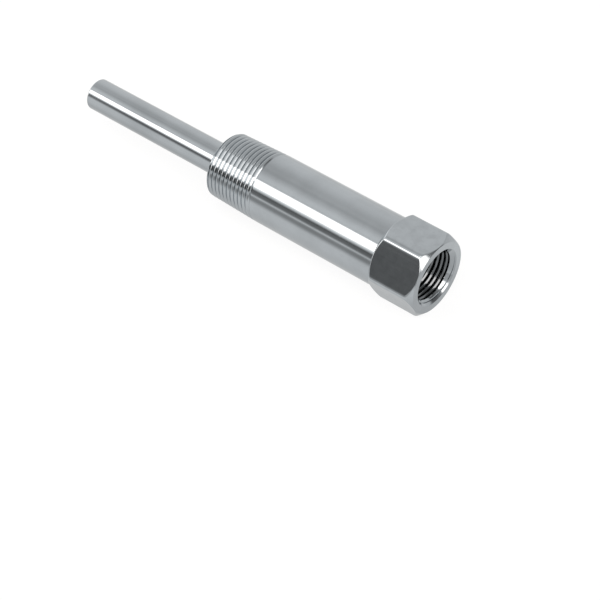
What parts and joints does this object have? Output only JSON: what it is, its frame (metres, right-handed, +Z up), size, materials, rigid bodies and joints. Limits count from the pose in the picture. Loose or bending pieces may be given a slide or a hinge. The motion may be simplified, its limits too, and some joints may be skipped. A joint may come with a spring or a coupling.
{
  "type": "thermowell",
  "caption": "Straight-stem thermowell turned from hexagon bar: short hexagon head with a threaded socket, plain cylinder, tapered pipe thread and a slim closed stem.",
  "frame": {"origin": "centre of the hexagon head's front face, on the well's axis, where the instrument screws in", "axes": "+X along the axis, out of the socket towards the instrument, with the closed tip on the -X side; +Z up, with one hexagon flat down and one up; +Y to the side"},
  "size_m": [0.1619, 0.0316, 0.028],
  "materials": {
    "stainless_steel": "bright turned and polished stainless steel with fine tool marks round the axis"
  },
  "bodies": {
    "root": {"thermowell": "stainless_steel"}
  },
  "joints": []
}
